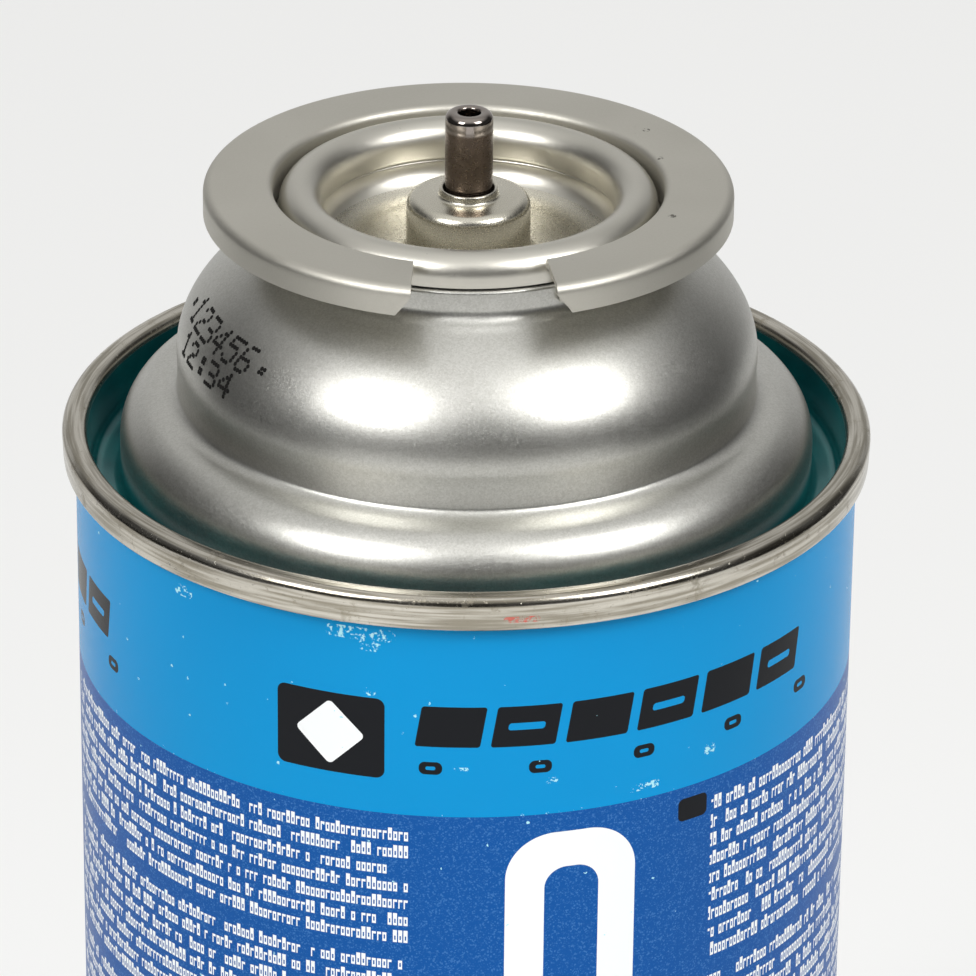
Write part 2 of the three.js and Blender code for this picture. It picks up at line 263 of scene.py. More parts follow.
# %% [markdown]
# ## The upper end
#
# The domed end is pressed from one disc. From the outside in, its outline runs round the double
# seam, down into the countersunk groove, up over a shoulder to a pressed crease, and along the dome
# to the neck. The seam is rolled metal, so it has no sharp edge: its top is a wide arc and its lower
# hem turns in against the wall.

# %% Outline of the upper end
GROOVE_DEPTH = 4.9
GROOVE_WIDTH = 2.5
GROOVE_RADIUS = RIM_RADIUS - 0.3
SHOULDER_RADIUS = GROOVE_RADIUS - GROOVE_WIDTH
SHOULDER_DROP = 1.3
SHOULDER_WIDTH = 3.7
CREASE_RADIUS = SHOULDER_RADIUS - SHOULDER_WIDTH
CREASE_RISE = 2.9
WAIST_RADIUS = CREASE_RADIUS - 1.15
WAIST_RISE = 6.5
DOME_CROWN = 13.3
COLLAR_SHEET = 0.5
COLLAR_GAP = 0.5
collar_inner = CUP_RADIUS + COLLAR_GAP
SKIRT_EDGE = CROWN - 2.55
NECK_RADIUS = CUP_RADIUS - 0.85
MOUTH_RADIUS = CUP_WALL + 0.85
CRIMP = CROWN - 3.6
SEAM_SHEET = 0.3
TOP_ROUNDING = 0.75
HEM_ROUNDING = 0.45
HEM_INSET = 0.08


def seam_outline(rim, direction):
    """A double seam from its hem to its inner edge. Direction is 1 for the upper end, -1 below."""
    hem = SEAM_HEIGHT - HEM_ROUNDING
    outer = SEAM_RADIUS - TOP_ROUNDING
    inner = RIM_RADIUS + TOP_ROUNDING
    points = [(BODY_RADIUS + 0.05, rim - direction * (SEAM_HEIGHT - 0.12))]
    hem_radius = SEAM_RADIUS - HEM_ROUNDING - HEM_INSET
    points += arc(hem_radius, rim - direction * hem, HEM_ROUNDING, direction * HEM_ROUNDING, -80, 0, 5)
    points += arc(outer, rim - direction * TOP_ROUNDING, TOP_ROUNDING, direction * TOP_ROUNDING, 0, 90, 8)
    points += arc(inner, rim - direction * TOP_ROUNDING, TOP_ROUNDING, direction * TOP_ROUNDING, 90, 172, 7)
    return points


groove = CAN_TOP - GROOVE_DEPTH
bend = 0.9
foot_bend = 0.6
upper_outline = seam_outline(CAN_TOP, 1)
upper_outline += arc(GROOVE_RADIUS - bend, groove + bend, bend, bend, 0, -90, 6)
upper_outline += arc(SHOULDER_RADIUS + foot_bend, groove + foot_bend, foot_bend, foot_bend, 270, 180, 4)
shoulder_rise = SHOULDER_DROP + CREASE_RISE - 0.3
upper_outline += arc(CREASE_RADIUS, CAN_TOP - SHOULDER_DROP, SHOULDER_WIDTH, shoulder_rise, 0, 72, 11)
upper_outline += arc(WAIST_RADIUS + 1.6, CAN_TOP + CREASE_RISE + 0.5, 1.6, 0.8, 262, 183, 11)
bead = collar_inner - 0.1
foot = math.degrees(math.acos((bead + 1.0) / WAIST_RADIUS))
upper_outline += arc(0, CAN_TOP + WAIST_RISE, WAIST_RADIUS, DOME_CROWN, -4, foot, 26)
upper_outline += arc(bead + 1.4, LEDGE - 0.3, 1.4, 1.2, 248, 180, 6)
upper_outline += arc(bead - 0.25, SKIRT_EDGE - 0.4, 0.25, 0.25, 0, 90, 4)
upper_outline += arc(NECK_RADIUS + 0.2, SKIRT_EDGE - 0.35, 0.2, 0.2, 90, 180, 3)
upper_outline += arc(NECK_RADIUS - 0.3, NECK_TOP - 0.3, 0.3, 0.3, 0, 90, 3)
upper_outline += arc(MOUTH_RADIUS + 0.3, NECK_TOP - 0.3, 0.3, 0.3, 90, 180, 3)
upper_outline += [(MOUTH_RADIUS, CRIMP)]
print(f"the dome is {2 * WAIST_RADIUS:.1f} mm wide at its waist, {WAIST_RISE} mm above the rim")

# %% Turn the upper end
upper_end = turned("upper_end", sheet(upper_outline, -SEAM_SHEET))

# %% [markdown]
# ## The lower end
#
# The photograph ends above it, so it gets the usual form: the same double seam, a groove inside it
# and a panel that is domed inwards to withstand the pressure. It is the upper outline's seam turned
# upside down, and a shallow arc to the middle.

# %% Turn the lower end
PANEL_RISE = 11.5
panel_edge = GROOVE_RADIUS - GROOVE_WIDTH / 2
lower_outline = seam_outline(0, -1)
lower_outline += arc(GROOVE_RADIUS - bend, GROOVE_DEPTH - bend, bend, bend, 0, 90, 5)
for step in range(1, 13):
    share = 1 - step / 12.5
    lower_outline.append((panel_edge * share, PANEL_RISE - (PANEL_RISE - GROOVE_DEPTH) * share**2))
inner_face = behind(lower_outline, SEAM_SHEET)
lower_end = turned("lower_end", lower_outline[::-1] + inner_face[::-1], ends="capped")

# %% [markdown]
# ## The mounting cup
#
# This is the pressed cup that carries the valve. Its rolled rim grips the neck, its wall is swaged
# out below that rim, which leaves a dark line, and its floor curves up into the pedestal. The small
# lip around the stem is part of the same sheet. One outline holds all of it.

# %% Turn the mounting cup
PEDESTAL_RADIUS = 5.2
PEDESTAL_TOP = CUP_FLOOR + 4.95
PEDESTAL_ROUNDING = 0.85
PEDESTAL_FOOT = 0.7
LIP_HEIGHT = 0.75
STEM_HOLE = 2.14
LIP_WALL = 0.3
LIP_FOOT = 0.3
LIP_ROUNDING = 0.15
CURL = CURL_WIDTH / 2
floor_end = PEDESTAL_RADIUS + PEDESTAL_FOOT + 3.4
foot_centre = PEDESTAL_RADIUS + PEDESTAL_FOOT
bulge = CUP_WALL + 0.4


def cup_face(inset):
    """The cup's upper face, or its under face at an inset, from the pedestal to the rim's edge."""
    edge = PEDESTAL_ROUNDING - inset
    foot = PEDESTAL_FOOT + inset
    roll = CURL - inset
    shoulder_height = PEDESTAL_TOP - PEDESTAL_ROUNDING
    points = arc(PEDESTAL_RADIUS - PEDESTAL_ROUNDING, shoulder_height, edge, edge, 90, 0, 7)
    points += arc(foot_centre, CUP_FLOOR + PEDESTAL_FOOT, foot, foot, 180, 270, 6)
    points += arc(floor_end, CRIMP, bulge - floor_end + inset, CRIMP - CUP_FLOOR + inset, -90, -8, 10)
    points += arc(bulge - 0.2 + inset, CRIMP, 0.2, 0.25, 0, 90, 4)
    points += arc(CUP_WALL + 0.25 + inset, CRIMP + 0.75, 0.25, 0.4, 270, 180, 3)
    points += arc(CUP_WALL + CURL, CROWN - CURL, roll, roll, 180, 0, 20)
    points.append((CUP_RADIUS - inset, SKIRT_EDGE))
    return points


lip_top = PEDESTAL_TOP + LIP_HEIGHT
lip = STEM_HOLE + LIP_WALL
cup_outline = cup_face(0)[::-1]
cup_outline += arc(lip + LIP_FOOT, PEDESTAL_TOP + LIP_FOOT, LIP_FOOT, LIP_FOOT, 270, 180, 3)
cup_outline += arc(lip - LIP_ROUNDING, lip_top - LIP_ROUNDING, LIP_ROUNDING, LIP_ROUNDING, 0, 90, 3)
cup_outline += [(STEM_HOLE + 0.05, lip_top - 0.05), (STEM_HOLE, PEDESTAL_TOP - CUP_SHEET)]
cup_outline += cup_face(CUP_SHEET)
mounting_cup = turned("valve_cup", cup_outline)

# %% [markdown]
# ## The locating collar
#
# The collar is a pressed ring, and its notch tells the stove which way round the canister sits. The
# ring is turned as a sheet. The notch is cut with a boolean, as a punch cuts it. A block does for
# the punch, and it is wider outside and below, because the cut edges of the skirt spread outwards.

# %% Turn the collar
OUTER_ROUNDING = 0.8
INNER_ROUNDING = 0.6
COLLAR_SKIRT = 2.5
skirt = COLLAR_TOP - COLLAR_SKIRT
collar_outline = [(COLLAR_RADIUS, skirt), (COLLAR_RADIUS, COLLAR_TOP - OUTER_ROUNDING - 0.4)]
edge_height = COLLAR_TOP - OUTER_ROUNDING
inner_height = COLLAR_TOP - INNER_ROUNDING
collar_outline += arc(COLLAR_RADIUS - OUTER_ROUNDING, edge_height, OUTER_ROUNDING, OUTER_ROUNDING, 0, 90, 7)
inner_bend = collar_inner + INNER_ROUNDING
collar_outline += arc(inner_bend, inner_height, INNER_ROUNDING, INNER_ROUNDING, 90, 180, 7)
collar_outline += [(collar_inner, LEDGE + 0.02)]
collar = turned("collar", sheet(collar_outline, -COLLAR_SHEET))

# %% Punch the notch
NOTCH_INNER = 10.2
NOTCH_OUTER = 12.0
NOTCH_FOOT = 14.6
PUNCH_DEPTH = 12.0
PUNCH_START = 4.0
PUNCH_ABOVE = 2.0
bpy.ops.object.select_all(action="DESELECT")
punch_middle = (PUNCH_START - collar_inner - PUNCH_DEPTH / 2) * MM
punch_place = (0, punch_middle, (edge_height + PUNCH_ABOVE / 2) * MM)
punch_size = (NOTCH_INNER * MM, PUNCH_DEPTH * MM, PUNCH_ABOVE * MM)
bpy.ops.mesh.primitive_cube_add(size=1, location=punch_place, scale=punch_size)
punch = bpy.context.object
bpy.ops.object.transform_apply(location=True, rotation=True, scale=True)
print("the punch is", NOTCH_INNER, "mm wide inside and", NOTCH_OUTER, "mm outside")


def pick(piece, test):
    """Selects, in edit mode, only the faces whose middle passes a test."""
    bpy.ops.object.mode_set(mode="EDIT")
    bpy.ops.mesh.select_mode(type="FACE")
    bpy.ops.mesh.select_all(action="DESELECT")
    bpy.ops.object.mode_set(mode="OBJECT")
    for face in piece.data.polygons:
        face.select = test(face.center)
    bpy.ops.object.mode_set(mode="EDIT")


# %% [markdown]
# The punch tapers: its outer face is scaled wider, then its lower face is extruded down through the
# skirt and scaled once more.

# %% Shape the punch and cut
PUNCH_BELOW = 3.0
punch_end = punch_middle - PUNCH_DEPTH / 2 * MM
taper_length = COLLAR_RADIUS - collar_inner + PUNCH_START
widening = 1 + (NOTCH_OUTER / NOTCH_INNER - 1) * PUNCH_DEPTH / taper_length
pick(punch, lambda middle: middle.y < punch_end + 0.1 * MM)
bpy.ops.transform.resize(value=(widening, 1, 1), center_override=(0, 0, 0))
pick(punch, lambda middle: middle.z < (edge_height + 0.1) * MM)
skirt_height = edge_height - skirt
bpy.ops.mesh.extrude_region_move(TRANSFORM_OT_translate={"value": (0, 0, -skirt_height * MM)})
foot_ratio = NOTCH_FOOT / NOTCH_OUTER
bpy.ops.transform.resize(value=(foot_ratio, 1, 1), center_override=(0, 0, 0))
bpy.ops.mesh.extrude_region_move(TRANSFORM_OT_translate={"value": (0, 0, -PUNCH_BELOW * MM)})
bpy.ops.object.mode_set(mode="OBJECT")

alone(collar)
cut = collar.modifiers.new("notch", "BOOLEAN")
cut.operation = "DIFFERENCE"
cut.solver = "EXACT"
cut.object = punch
bpy.ops.object.modifier_apply(modifier="notch")
bpy.data.objects.remove(punch, do_unlink=True)
smooth(collar)
print("the notched collar has", len(collar.data.polygons), "faces")

# %% [markdown]
# ## The valve stem
#
# The stem is a drawn tube with a rounded tip. It is slimmer where it enters the lip, and that
# leaves the dark ring around its foot. The shoulder and the stub below are hidden, but they are
# real, so they are turned with it.

# %% Turn the stem
STEM_RADIUS = 2.0
STEM_NECK = 1.88
STEM_BORE = 0.93
TIP_ROUNDING = 0.6
MOUTH_ROUNDING = 0.2
STUB_RADIUS = 1.6
STEM_SHOULDER = 3.2
POLE = 0.2
HOUSING_TOP = PEDESTAL_TOP - CUP_SHEET - 1.0
SHOULDER_BOTTOM = HOUSING_TOP - 1.2
STUB_BOTTOM = stem_low.z / MM
neck_end = PEDESTAL_TOP + 0.8
bore_bottom = HOUSING_TOP + 0.15
stem_outline = [(POLE, STUB_BOTTOM), (STUB_RADIUS, STUB_BOTTOM), (STUB_RADIUS, SHOULDER_BOTTOM)]
stem_outline += [(STEM_SHOULDER, SHOULDER_BOTTOM), (STEM_SHOULDER, HOUSING_TOP), (STEM_NECK, HOUSING_TOP)]
stem_outline += arc(STEM_NECK, neck_end + 0.45, STEM_RADIUS - STEM_NECK, 0.45, -80, 0, 6)
stem_outline += [(STEM_RADIUS, STEM_TIP - 2.0), (STEM_RADIUS, STEM_TIP - 1.35)]
tip_height = STEM_TIP - TIP_ROUNDING
stem_outline += arc(STEM_RADIUS - TIP_ROUNDING, tip_height, TIP_ROUNDING, TIP_ROUNDING, 0, 90, 9)
mouth_height = STEM_TIP - MOUTH_ROUNDING
stem_outline += arc(STEM_BORE + MOUTH_ROUNDING, mouth_height, MOUTH_ROUNDING, MOUTH_ROUNDING, 90, 180, 4)
stem_outline += [(STEM_BORE, bore_bottom), (POLE, bore_bottom - 0.3)]
stem = turned("stem", stem_outline, ends="capped", sides=96)

# %% [markdown]
# ## Shader maths as Python
#
# A material is a graph of small maths nodes, and a graph of a hundred of them is hard to read. This
# class wraps one socket and overloads the operators, so that `1 - mask` or `height > 3` adds the
# node by itself. Every other node comes from one method of the finish.

# %% The field class
class Field:
    """A number that varies over a surface."""

    def __init__(self, tree, socket):
        self.tree = tree
        self.socket = socket

    def math(self, operation, *values):
        node = self.tree.nodes.new("ShaderNodeMath")
        node.operation = operation
        for place, value in enumerate(values):
            if isinstance(value, Field):
                self.tree.links.new(value.socket, node.inputs[place])
            else:
                node.inputs[place].default_value = value
        return Field(self.tree, node.outputs[0])

    def __add__(self, other):
        return self.math("ADD", self, other)

    __radd__ = __add__

    def __sub__(self, other):
        return self.math("SUBTRACT", self, other)

    def __rsub__(self, other):
        return self.math("SUBTRACT", other, self)

    def __mul__(self, other):
        return self.math("MULTIPLY", self, other)

    __rmul__ = __mul__

    def __truediv__(self, other):
        return self.math("DIVIDE", self, other)

    def __gt__(self, other):
        return self.math("GREATER_THAN", self, other)

    def __lt__(self, other):
        return self.math("LESS_THAN", self, other)

    def __abs__(self):
        return self.math("ABSOLUTE", self)

    def floor(self):
        return self.math("FLOOR", self)

    def root(self):
        return self.math("SQRT", self)

    def sine(self):
        return self.math("SINE", self)

    def wrap(self, period):
        """What is left after taking away whole periods."""
        return self.math("FLOORED_MODULO", self, period)

    def most(self, other):
        return self.math("MAXIMUM", self, other)

    def ramp(self, low, high):
        """Goes smoothly from 0 to 1 while the field goes from low to high."""
        node = self.tree.nodes.new("ShaderNodeMapRange")
        node.interpolation_type = "SMOOTHSTEP"
        self.tree.links.new(self.socket, node.inputs["Value"])
        node.inputs["From Min"].default_value = min(low, high)
        node.inputs["From Max"].default_value = max(low, high)
        node.inputs["To Min"].default_value = 0 if low < high else 1
        node.inputs["To Max"].default_value = 1 if low < high else 0
        return Field(self.tree, node.outputs["Result"])


print("a field adds its own maths nodes")

# %% The finish class
class Finish:
    """A material around one Principled shader. Lengths in its fields are in millimetres."""

    def __init__(self, name, constants):
        self.material = bpy.data.materials.new(name)
        self.material.use_nodes = True
        self.tree = self.material.node_tree
        self.shader = self.tree.nodes["Principled BSDF"]
        for socket, value in constants.items():
            self.shader.inputs[socket].default_value = value
        self.place = self.node("ShaderNodeTexCoord", output="Object")
        axes = self.tree.nodes.new("ShaderNodeSeparateXYZ")
        self.tree.links.new(self.place.socket, axes.inputs[0])
        self.x, self.y, self.z = (Field(self.tree, axes.outputs[axis]) * 1000 for axis in range(3))
        self.radius = (self.x * self.x + self.y * self.y).root()
        self.bearing = self.x.math("ARCTAN2", self.x, 0 - self.y)
        self.rise = self.z - CAN_TOP

    def node(self, kind, settings=None, sockets=None, output=0):
        """Any node: its type, its settings, and the values or links of its sockets."""
        node = self.tree.nodes.new(kind)
        for setting, value in (settings or {}).items():
            setattr(node, setting, value)
        for socket, value in (sockets or {}).items():
            self.feed(node.inputs[socket], value)
        return Field(self.tree, node.outputs[output])

    def feed(self, socket, value):
        if isinstance(value, Field):
            self.tree.links.new(value.socket, socket)
        else:
            socket.default_value = value

    def noise(self, size, detail=2.0, place=None, roughness=0.5):
        """Random variation whose features have about this size in millimetres."""
        sockets = {"Vector": place or self.place, "Scale": 1000 / size, "Detail": detail}
        sockets["Roughness"] = roughness
        return self.node("ShaderNodeTexNoise", sockets=sockets, output="Fac")

    def grain(self, size):
        """A random number for each cell of this size in millimetres."""
        sockets = {"Vector": self.place, "Scale": 1000 / size}
        cells = self.node("ShaderNodeTexVoronoi", sockets=sockets, output="Color")
        return self.node("ShaderNodeSeparateColor", sockets={0: cells})

    def streaks(self, length, width):
        """Scratches that run round the axis, in degrees long and millimetres wide."""
        sockets = {0: self.bearing * (57.3 / length), 1: self.radius / width, 2: self.z / width}
        place = self.node("ShaderNodeCombineXYZ", sockets=sockets)
        return self.noise(1000.0, 3.0, place)

    def mix(self, factor, low, high):
        """Colours blended by a factor."""
        return self.node("ShaderNodeMix", {"data_type": "RGBA"}, {0: factor, 6: low, 7: high}, 2)

    def set(self, **fields):
        for socket, value in fields.items():
            self.feed(self.shader.inputs[socket.replace("_", " ")], value)

    def bump(self, height, distance, strength=1.0):
        """Raises the surface by a height from 0 to 1, times a distance in millimetres."""
        sockets = {"Height": height, "Distance": distance * MM, "Strength": strength}
        self.set(Normal=self.node("ShaderNodeBump", sockets=sockets, output="Normal"))

    def spot(self, across, up, place, half_size, rounding):
        """1 inside a rectangle with round corners, 0 outside it."""
        out_across = (abs(across - place[0]) - (half_size[0] - rounding)).most(0)
        out_up = (abs(up - place[1]) - (half_size[1] - rounding)).most(0)
        return (out_across * out_across + out_up * out_up) < rounding * rounding


def ink(red, green, blue):
    """A colour as a screen shows it, from 0 to 255, made linear for the shader."""
    linear = [((value / 255 + 0.055) / 1.055) ** 2.4 for value in (red, green, blue)]
    return (*linear, 1.0)


def any_of(masks):
    """The strongest of several masks at each point."""
    strongest = masks[0]
    for mask in masks[1:]:
        strongest = strongest.most(mask)
    return strongest


print("mid grey on a screen is", round(ink(128, 128, 128)[0], 3), "in the shader")

# %% [markdown]
# ## The print on the wall
#
# The tin is printed before it is rolled. A light blue band lies above a deep blue field with a fine
# sparkle, and three equal panels follow each other round the can. Each panel is a set of plain
# shapes: a square, slanted blocks, small marks, a column of links and rows of tiny blocks.
#
# The pattern is drawn in millimetres along the wall: `around` starts at the notch, and `rise` is
# negative below the upper rim. A picture could do it too, but shapes made of maths stay sharp at
# any distance.

# %% Start the printed finish
lacquer = {"Specular IOR Level": 0.1, "IOR": 1.45, "Coat Weight": 0.06, "Coat Roughness": 0.12}
printed = Finish("printed_tin", lacquer)
PANELS = 3
CIRCUMFERENCE = 2 * math.pi * BODY_RADIUS
PANEL = CIRCUMFERENCE / PANELS
BAND_EDGE = -20.45
around = printed.bearing * BODY_RADIUS
rise = printed.rise
deep = rise < BAND_EDGE
print(f"the print is {CIRCUMFERENCE:.1f} mm round, and each panel {PANEL:.2f} mm wide")

# %% Black shapes on the band
BAND_START = -8.3
on_band = (around - BAND_START).wrap(PANEL) + BAND_START
SQUARE = (PANEL - 13.07, -13.6)
SQUARE_HALF = (4.62, 3.65)
DIAMOND_HALF = (3.0, 3.0)
square = printed.spot(on_band, rise, SQUARE, SQUARE_HALF, 0.75)
beside = on_band - SQUARE[0]
above = rise - SQUARE[1]
diamond = printed.spot(beside + above, beside - above, (0, 0), DIAMOND_HALF, 0.6)
print(f"the square is {2 * SQUARE_HALF[0]:.1f} mm wide and {2 * SQUARE_HALF[1]:.1f} mm high")

# %% Slanted blocks and small marks
BAR_START = -6.14
BAR_PITCH = 6.15
BARS = 6
SLANT = 0.16
BAR_LEVEL = -12.15
along = on_band - BAR_START - (rise - BAR_LEVEL) * SLANT
in_bar = along.wrap(BAR_PITCH)
BAR_PLACE = (BAR_PITCH / 2, BAR_LEVEL)
BAR_HALF = (2.65, 1.85)
WINDOW_HALF = (1.5, 0.32)
bars = printed.spot(in_bar, rise, BAR_PLACE, BAR_HALF, 0.25)
window = printed.spot(in_bar, rise, BAR_PLACE, WINDOW_HALF, 0.25)
every_other = along.wrap(2 * BAR_PITCH) > BAR_PITCH
bars = (bars - window * every_other) * (along > 0) * (along < BARS * BAR_PITCH)

MARK_PITCH = 8.93
MARKS = 5
FIRST_MARK = -4.7
MARK_PLACE = (MARK_PITCH / 2, -15.98)
along_marks = on_band - FIRST_MARK + MARK_PITCH / 2
in_mark = along_marks.wrap(MARK_PITCH)
MARK_HALF = (0.95, 0.58)
MARK_HOLE = (0.4, 0.16)
marks = printed.spot(in_mark, rise, MARK_PLACE, MARK_HALF, 0.5)
marks = marks - printed.spot(in_mark, rise, MARK_PLACE, MARK_HOLE, 0.14)
marks = marks * (along_marks > 0) * (along_marks < MARKS * MARK_PITCH)
print("each panel has", BARS, "slanted blocks and", MARKS, "small marks")

# %% [markdown]
# ## The deep field
#
# A column of tall white links runs down the middle of each panel, with rows of tiny blocks beside
# it. The rows are a texture and can't be read. Each cell of a row draws a random number, which
# makes it a tall block, a low block or part of a gap.

# %% White links
FIELD_START = -6.4
on_field = (around - FIELD_START).wrap(PANEL) + FIELD_START
LINK_PITCH = 26.5
LINKS = 4
in_link = (BAND_EDGE - rise).wrap(LINK_PITCH)
LINK_MIDDLE = (7.0, 13.2)
LINK_HALF = (5.55, 11.4)
LINK_HOLE = (2.3, 8.1)
link = printed.spot(on_field, in_link, LINK_MIDDLE, LINK_HALF, 4.2)
link = link - printed.spot(on_field, in_link, LINK_MIDDLE, LINK_HOLE, 1.9)
field_end = BAND_EDGE - LINKS * LINK_PITCH
links = link * deep * (rise > field_end)
print(f"{LINKS} links in each panel, down to {-field_end:.1f} mm below the rim")

# %% Rows of tiny blocks
right_side = around > FIELD_START
FIRST_ROW = -21.6
row_pitch = 1.6 + right_side * 0.16
rows = 7 + right_side * 2
row_place = (FIRST_ROW - right_side * 0.42 - rise) / row_pitch
GROUP_GAP = 0.6
group = (row_place / (rows + GROUP_GAP)).floor()
in_group = row_place - group * (rows + GROUP_GAP)
row = in_group.floor()
in_row = in_group - row
row_seed = row * 3.7 + group * 31.3 + right_side * 11.9
print("rows come in groups of 7 or 9")

# %% Cells of the rows
CELL = 0.44
cell = (on_field / CELL).floor()
in_cell = on_field / CELL - cell
ROW_SALT = 5.0
draw_place = printed.node("ShaderNodeCombineXYZ", sockets={0: cell, 1: row_seed})
draw = printed.node("ShaderNodeTexWhiteNoise", sockets={"Vector": draw_place}, output="Value")
gap_place = printed.node("ShaderNodeCombineXYZ", sockets={0: cell, 1: row_seed, 2: ROW_SALT})
gap = printed.node("ShaderNodeTexWhiteNoise", sockets={"Vector": gap_place}, output="Value") > 0.85
block_top = 0.3 - (draw > 0.7) * 0.2
blocks = (in_row > block_top) * (in_row < 0.82) * (in_cell > 0.1) * (in_cell < 0.86)
opening = (in_row > 0.44) * (in_row < 0.68) * (in_cell > 0.34) * (in_cell < 0.62)
opening = opening.most((in_row > 0.44) * (in_cell > 0.34) * (draw < 0.3))
print("a cell is", CELL, "mm wide")

# %% Edges of the rows
ROWS_LEFT = 19.96
ROWS_RIGHT = 62.46
TAB = (18.0, -22.6)
TAB_HALF = (1.45, 1.05)
ragged = on_field - (row_seed * 5.1).sine() * 2.0
column = (on_field > ROWS_LEFT) * (ragged < ROWS_RIGHT - 2.0 * right_side)
fine_rows = (blocks - opening) * (1 - gap) * (row < rows - 0.5) * column
fine_rows = fine_rows * deep * (rise > field_end) * (row_place > 0)
tab = printed.spot(on_field, rise, TAB, TAB_HALF, 0.5) * right_side
print(f"the rows are {ROWS_RIGHT - ROWS_LEFT:.1f} mm wide")

# %% [markdown]
# ## Colour, sparkle and wear of the print
#
# The deep field sparkles because the flakes in its lacquer are larger. Scuffs are small and few:
# they lie under the seam, where a crate has touched it, and along the band. They are light, because
# the tin shows through. A plain strip at the back carries the side weld.

# %% Colour the print
LIGHT_BLUE = ink(0, 148, 212)
DEEP_BLUE = ink(12, 84, 160)
FLAKE_BLUE = ink(90, 150, 210)
WHITE = ink(247, 250, 250)
BLACK = ink(22, 24, 28)
CHIP = ink(176, 232, 244)
SECOND_BLUE = ink(0, 144, 208)
cloud = printed.noise(26.0, 1.0)
flakes = (printed.grain(0.13) > 0.88) * 0.3 + (printed.grain(0.09) > 0.85) * 0.15
blue = printed.mix(cloud.ramp(0.3, 0.7), SECOND_BLUE, LIGHT_BLUE)
field_blue = printed.mix(flakes, DEEP_BLUE, FLAKE_BLUE)
colour = printed.mix(deep, blue, field_blue)
colour = printed.mix(any_of([links, fine_rows, square * diamond]), colour, WHITE)
black_shapes = any_of([square * (1 - diamond), bars, marks, tab])
colour = printed.mix(black_shapes, colour, BLACK)
print("the colours take", len(printed.tree.nodes), "nodes so far")

# %% Wear of the print
crumbs = printed.noise(0.42, 3.0, roughness=0.7)
SCUFFS = [
    (-10.5, -4.2, 2.9, 0.55),
    (-9.7, -5.2, 0.9, 0.5),
    (-27.3, -4.7, 1.0, 0.5),
    (-9.7, -9.4, 0.5, 0.35),
    (13.2, -19.3, 1.5, 0.35),
    (19.6, -17.6, 0.6, 0.5),
    (5.2, -17.4, 0.5, 0.3),
    (-2.2, -16.0, 0.6, 0.16),
]
patches = []
for side, level, half_width, half_height in SCUFFS:
    patches.append(printed.spot(around, rise, (side, level), (half_width, half_height), half_height * 0.9))
scuffs = any_of(patches) * (crumbs > 0.555)
dust = (printed.grain(0.22) > 0.9993) * (crumbs > 0.5)
edge_wear = (rise < BAND_EDGE + 0.3) * (rise > BAND_EDGE - 0.1) * (crumbs > 0.69)
wear = any_of([scuffs, dust, edge_wear])
colour = printed.mix(wear, colour, CHIP)

print(len(SCUFFS), "scuffs are placed by hand")

# %% Weld, gloss and relief of the print
WELD_HALF_WIDTH = 1.8
WELD_LINE = 0.35
weld = abs(around) > CIRCUMFERENCE / 2 - WELD_HALF_WIDTH
seam_line = abs(around) > CIRCUMFERENCE / 2 - WELD_LINE
colour = printed.mix(weld, colour, ink(176, 175, 168))
printed.set(Base_Color=colour, Metallic=weld, Roughness=0.27 + deep * 0.06 + weld * 0.12 + wear * 0.25)
orange_peel = printed.noise(0.9, 1.0) * 0.35 + printed.grain(0.17) * deep * 0.12
ink_edge = black_shapes * 0.12 + links.most(fine_rows) * 0.12
printed.bump(orange_peel + ink_edge - wear * 0.5 - seam_line * 1.5, 0.006)
dress(can_wall, ["can"], printed.material)

# %% [markdown]
# ## Tinned steel of the ends
#
# The dome is satin: its grain is finer than a tenth of a millimetre and glitters, so both its
# roughness and its bump follow that grain. The seam was rolled against steel wheels, which leaves
# streaks and pits that run round it. A teal lacquer lies in the groove, thins out up the shoulder
# and stops at the inner edge of the seam. A lighter teal line along the groove's floor is a painted
# highlight on its rounded bottom.

# %% Finish of the ends
ends = Finish("bright_tin", {"Metallic": 1.0, "Coat Roughness": 0.15})
grit = ends.grain(0.085)
fine = ends.noise(0.12, 2.0)
soft = ends.noise(9.0, 2.0)
on_seam = ends.radius > RIM_RADIUS - 0.25
rolled = ends.streaks(14.0, 0.35)
pits = ends.noise(0.45, 4.0, roughness=0.75)
sparkle = ends.grain(0.13)
satin_tin = ends.mix(soft * 0.5 + sparkle * 0.5, ink(184, 183, 176), ink(216, 215, 210))
seam_tin = ends.mix(rolled.ramp(0.35, 0.65), ink(150, 144, 130), ink(206, 201, 190))
stain = ends.noise(1.6, 4.0, roughness=0.7).ramp(0.55, 0.72)
seam_tin = ends.mix(stain * 0.55, seam_tin, ink(150, 142, 124))
tin = ends.mix(on_seam, satin_tin, seam_tin)
print("the bare tin takes", len(ends.tree.nodes), "nodes so far")

# %% Teal lacquer in the groove, and its painted highlight
GROOVE_SPLIT = 30.4
LACQUER_INNER = 24.0
LACQUER_OUTER = RIM_RADIUS + 0.3
outer_wall = ends.radius > GROOVE_SPLIT
wall_teal = ends.rise.ramp(-0.55, -1.0) * outer_wall * (1 - on_seam * (ends.radius > LACQUER_OUTER))
shoulder_teal = ends.rise.ramp(-1.5, -3.4) * (1 - outer_wall)
teal = wall_teal.most(shoulder_teal) * (ends.radius > LACQUER_INNER)
# A thin line on the groove's floor, 31 mm from the axis: a painted highlight on the rounded bottom.
painted_groove_highlight = (1 - abs(ends.radius - 31.0).ramp(0.0, 0.3)) * (ends.rise < -3.6)
teal_colour = ends.mix(soft.ramp(0.35, 0.7), ink(0, 92, 98), ink(4, 122, 124))
# Painted highlight: the lacquer is made a lighter teal along that line.
teal_colour = ends.mix(painted_groove_highlight * 0.35, teal_colour, ink(70, 150, 150))
colour = ends.mix(teal, tin, teal_colour)

